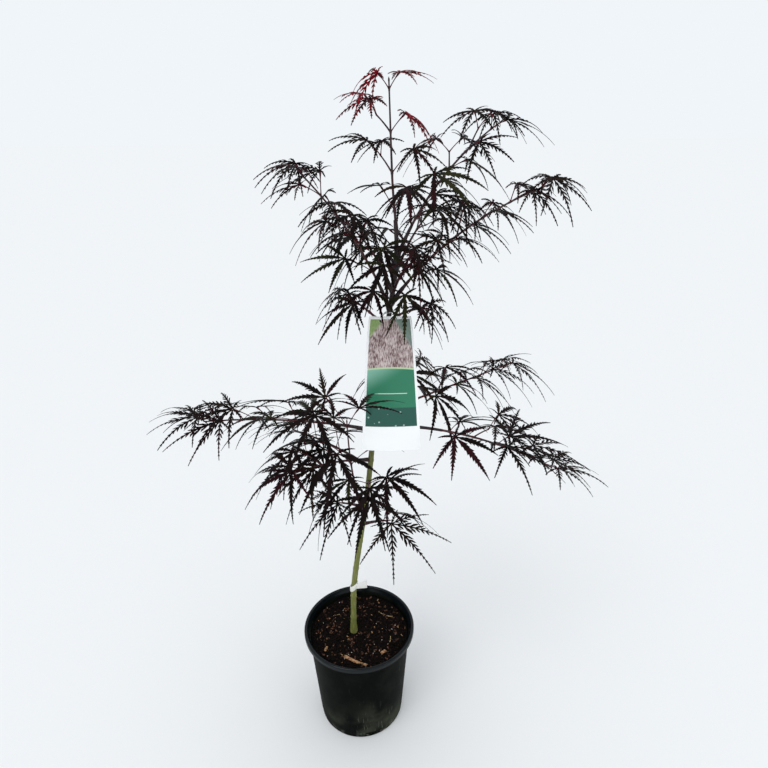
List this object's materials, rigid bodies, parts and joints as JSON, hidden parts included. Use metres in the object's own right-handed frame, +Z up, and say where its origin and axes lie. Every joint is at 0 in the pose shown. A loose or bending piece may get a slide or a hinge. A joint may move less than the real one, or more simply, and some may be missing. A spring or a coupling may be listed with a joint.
{
  "type": "potted japanese maple",
  "caption": "Young weeping cut-leaf maple with dark red leaves on slender boughs, standing in a round black nursery pot, with a plain hanging card on its stem.",
  "frame": {"origin": "middle of the pot's flat underside", "axes": "+Z up along the pot's axis, -Y towards the side that the picture shows, +X to the picture's right"},
  "size_m": [0.5503, 0.3025, 0.9048],
  "materials": {
    "pot": "moulded black plastic, dusty and scuffed",
    "soil": "dark bark-based potting soil",
    "bark": "smooth young bark, olive green low down and purple-black above",
    "leaves": "dark purple-red cut leaves",
    "card": "printed plastic card",
    "loop": "white plastic",
    "tie_white": "white tape",
    "tie_black": "black tape"
  },
  "bodies": {
    "root": {"pot": "pot", "soil": "soil", "trunk": "bark", "bough_leader": "bark", "bough_upper_right": "bark", "bough_right": "bark", "bough_left": "bark", "bough_left_short": "bark", "bough_right_short": "bark", "bough_back_left": "bark", "bough_back_right": "bark", "bough_front": "bark", "bough_low_back_right": "bark", "bough_low_right": "bark", "bough_low_left": "bark", "bough_riser": "bark", "bough_low_left_front": "bark", "bough_low_front": "bark", "bough_low_back": "bark", "bough_low_back_left": "bark", "bough_foot_left": "bark", "bough_foot_right": "bark", "foliage_leader": "leaves", "foliage_upper_right": "leaves", "foliage_right": "leaves", "foliage_left": "leaves", "foliage_left_short": "leaves", "foliage_right_short": "leaves", "foliage_back_left": "leaves", "foliage_back_right": "leaves", "foliage_front": "leaves", "foliage_low_back_right": "leaves", "foliage_low_right": "leaves", "foliage_low_left": "leaves", "foliage_riser": "leaves", "foliage_low_left_front": "leaves", "foliage_low_front": "leaves", "foliage_low_back": "leaves", "foliage_low_back_left": "leaves", "foliage_foot_left": "leaves", "foliage_foot_right": "leaves", "card": "card", "card_loop": "loop", "tie_white": "tie_white", "tie_black": "tie_black"}
  },
  "joints": []
}
